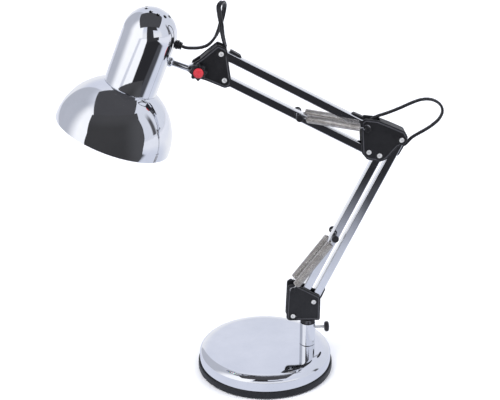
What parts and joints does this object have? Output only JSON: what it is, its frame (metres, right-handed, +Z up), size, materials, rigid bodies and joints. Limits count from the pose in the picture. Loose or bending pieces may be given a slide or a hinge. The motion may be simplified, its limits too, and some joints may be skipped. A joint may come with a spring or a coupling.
{
  "type": "swing arm desk lamp",
  "caption": "Chromed desk lamp: weighted round base, swivelling bracket, two spring-balanced parallelogram arms of square tube and a tilting domed reflector head with a clamp knob.",
  "frame": {"origin": "centre of the round base on the surface it stands on", "axes": "+Z up; the arms move in the XZ plane, the head hangs towards -X; -Y is the side with the screw heads and the star knob"},
  "size_m": [0.4312, 0.162, 0.4495],
  "materials": {
    "chrome": "mirror polished chrome plate",
    "bar_chrome": "chrome plated square tube",
    "rim_rubber": "black rubber",
    "foam_pad": "dense foam",
    "zinc_steel": "zinc plated steel",
    "cast_iron": "rough casting",
    "black_moulding": "fine textured black moulding",
    "pin_black": "blackened steel",
    "spring_nickel": "nickelled spring wire",
    "red_cap": "red cap, satin",
    "lampholder_white": "white moulding",
    "bulb_opal": "opal glass",
    "bulb_brass": "screw cap",
    "flex_black": "black flat twin flex, smooth"
  },
  "bodies": {
    "base": {"base_cover": "chrome", "base_rim_ring": "rim_rubber", "base_foot_pad": "foam_pad", "base_plate": "zinc_steel", "base_weight": "cast_iron", "base_bolt": "zinc_steel", "base_cable_grommet": "rim_rubber", "post_tube": "chrome", "post_flange_nut": "zinc_steel"},
    "thumb_screw": {"thumb_screw": "zinc_steel", "thumb_screw_knob": "black_moulding"},
    "swivel_bracket": {"base_bracket_rear": "black_moulding", "base_bracket_front": "black_moulding", "screw_base_left": "zinc_steel", "screw_base_right": "zinc_steel", "lower_spring_front": "spring_nickel", "lower_spring_rear": "spring_nickel", "cord_run_base": "flex_black"},
    "lower_right_bar": {"lower_bar_right": "bar_chrome", "cord_guide_base": "black_moulding", "cord_guide_elbow_lower": "black_moulding", "cord_run_lower_arm": "flex_black"},
    "lower_left_bar": {"lower_bar_left": "bar_chrome", "lower_spring_pin": "pin_black", "lower_spring_pin_cap": "pin_black"},
    "elbow": {"elbow_bracket_rear": "black_moulding", "elbow_bracket_front": "black_moulding", "screw_elbow_lower_left": "zinc_steel", "screw_elbow_lower_right": "zinc_steel", "screw_elbow_upper_left": "zinc_steel", "elbow_hinge_pin": "zinc_steel", "upper_spring_front": "spring_nickel", "upper_spring_rear": "spring_nickel", "cord_loop_elbow": "flex_black"},
    "upper_top_bar": {"upper_bar_top": "bar_chrome", "cord_guide_elbow_upper": "black_moulding", "cord_guide_head": "black_moulding", "cord_run_upper_arm": "flex_black"},
    "upper_bottom_bar": {"upper_bar_bottom": "bar_chrome", "upper_spring_pin": "pin_black", "upper_spring_pin_cap": "pin_black"},
    "head_bracket": {"head_bracket_rear": "black_moulding", "head_bracket_front": "black_moulding", "screw_head_lower": "zinc_steel", "screw_head_upper": "zinc_steel", "head_clamp_bolt": "zinc_steel"},
    "head_knob": {"star_knob": "black_moulding", "star_knob_cap": "red_cap"},
    "head": {"reflector": "chrome", "socket_cover": "chrome", "lampholder": "lampholder_white", "shade_ring": "lampholder_white", "bulb_glass": "bulb_opal", "bulb_cap": "bulb_brass", "head_stem": "chrome", "stem_boss_nut": "chrome", "stem_lock_nut": "zinc_steel", "cord_gland": "black_moulding", "cord_run_head": "flex_black", "cord_loop_head": "flex_black"}
  },
  "joints": [
    {"name": "base_swivel", "type": "hinge", "parent": "base", "child": "swivel_bracket", "pos_m": [0.0505, 0, 0.0566], "axis": [0, 0, 1], "range_deg": [-170, 170], "deforming": ["cord_run_base"]},
    {"name": "thumb_screw_turn", "type": "hinge", "parent": "base", "child": "thumb_screw", "pos_m": [0.0736, 0, 0.0493], "axis": [1, 0, 0], "continuous": true},
    {"name": "lower_arm", "type": "hinge", "parent": "swivel_bracket", "child": "lower_right_bar", "pos_m": [0.0565, 0, 0.0863], "axis": [0, -1, 0], "range_deg": [-6, 55], "deforming": ["lower_spring_front", "lower_spring_rear", "cord_loop_elbow"]},
    {"name": "lower_arm_left_bar", "type": "hinge", "parent": "swivel_bracket", "child": "lower_left_bar", "pos_m": [0.0322, 0, 0.0682], "axis": [0, -1, 0], "range_deg": [-6, 55]},
    {"name": "elbow_level", "type": "hinge", "parent": "lower_right_bar", "child": "elbow", "pos_m": [0.1516, 0, 0.2878], "axis": [0, -1, 0], "range_deg": [-55, 6]},
    {"name": "upper_arm", "type": "hinge", "parent": "elbow", "child": "upper_top_bar", "pos_m": [0.1118, 0, 0.3037], "axis": [0, -1, 0], "range_deg": [-25, 40], "deforming": ["upper_spring_front", "upper_spring_rear"]},
    {"name": "upper_arm_bottom_bar", "type": "hinge", "parent": "elbow", "child": "upper_bottom_bar", "pos_m": [0.115, 0, 0.274], "axis": [0, -1, 0], "range_deg": [-25, 40]},
    {"name": "head_level", "type": "hinge", "parent": "upper_top_bar", "child": "head_bracket", "pos_m": [-0.0498, 0, 0.3916], "axis": [0, -1, 0], "range_deg": [-40, 25]},
    {"name": "star_knob_turn", "type": "hinge", "parent": "head_bracket", "child": "head_knob", "pos_m": [-0.075, -0.012, 0.374], "axis": [0, 1, 0], "continuous": true},
    {"name": "head_tilt", "type": "hinge", "parent": "head_bracket", "child": "head", "pos_m": [-0.075, 0, 0.374], "axis": [0, -1, 0], "range_deg": [-50, 35], "deforming": ["cord_loop_head"]}
  ],
  "couplings": [
    {"joint": "lower_arm_left_bar", "follows": "lower_arm", "ratio": 1},
    {"joint": "elbow_level", "follows": "lower_arm", "ratio": -1},
    {"joint": "upper_arm_bottom_bar", "follows": "upper_arm", "ratio": 1},
    {"joint": "head_level", "follows": "upper_arm", "ratio": -1}
  ]
}
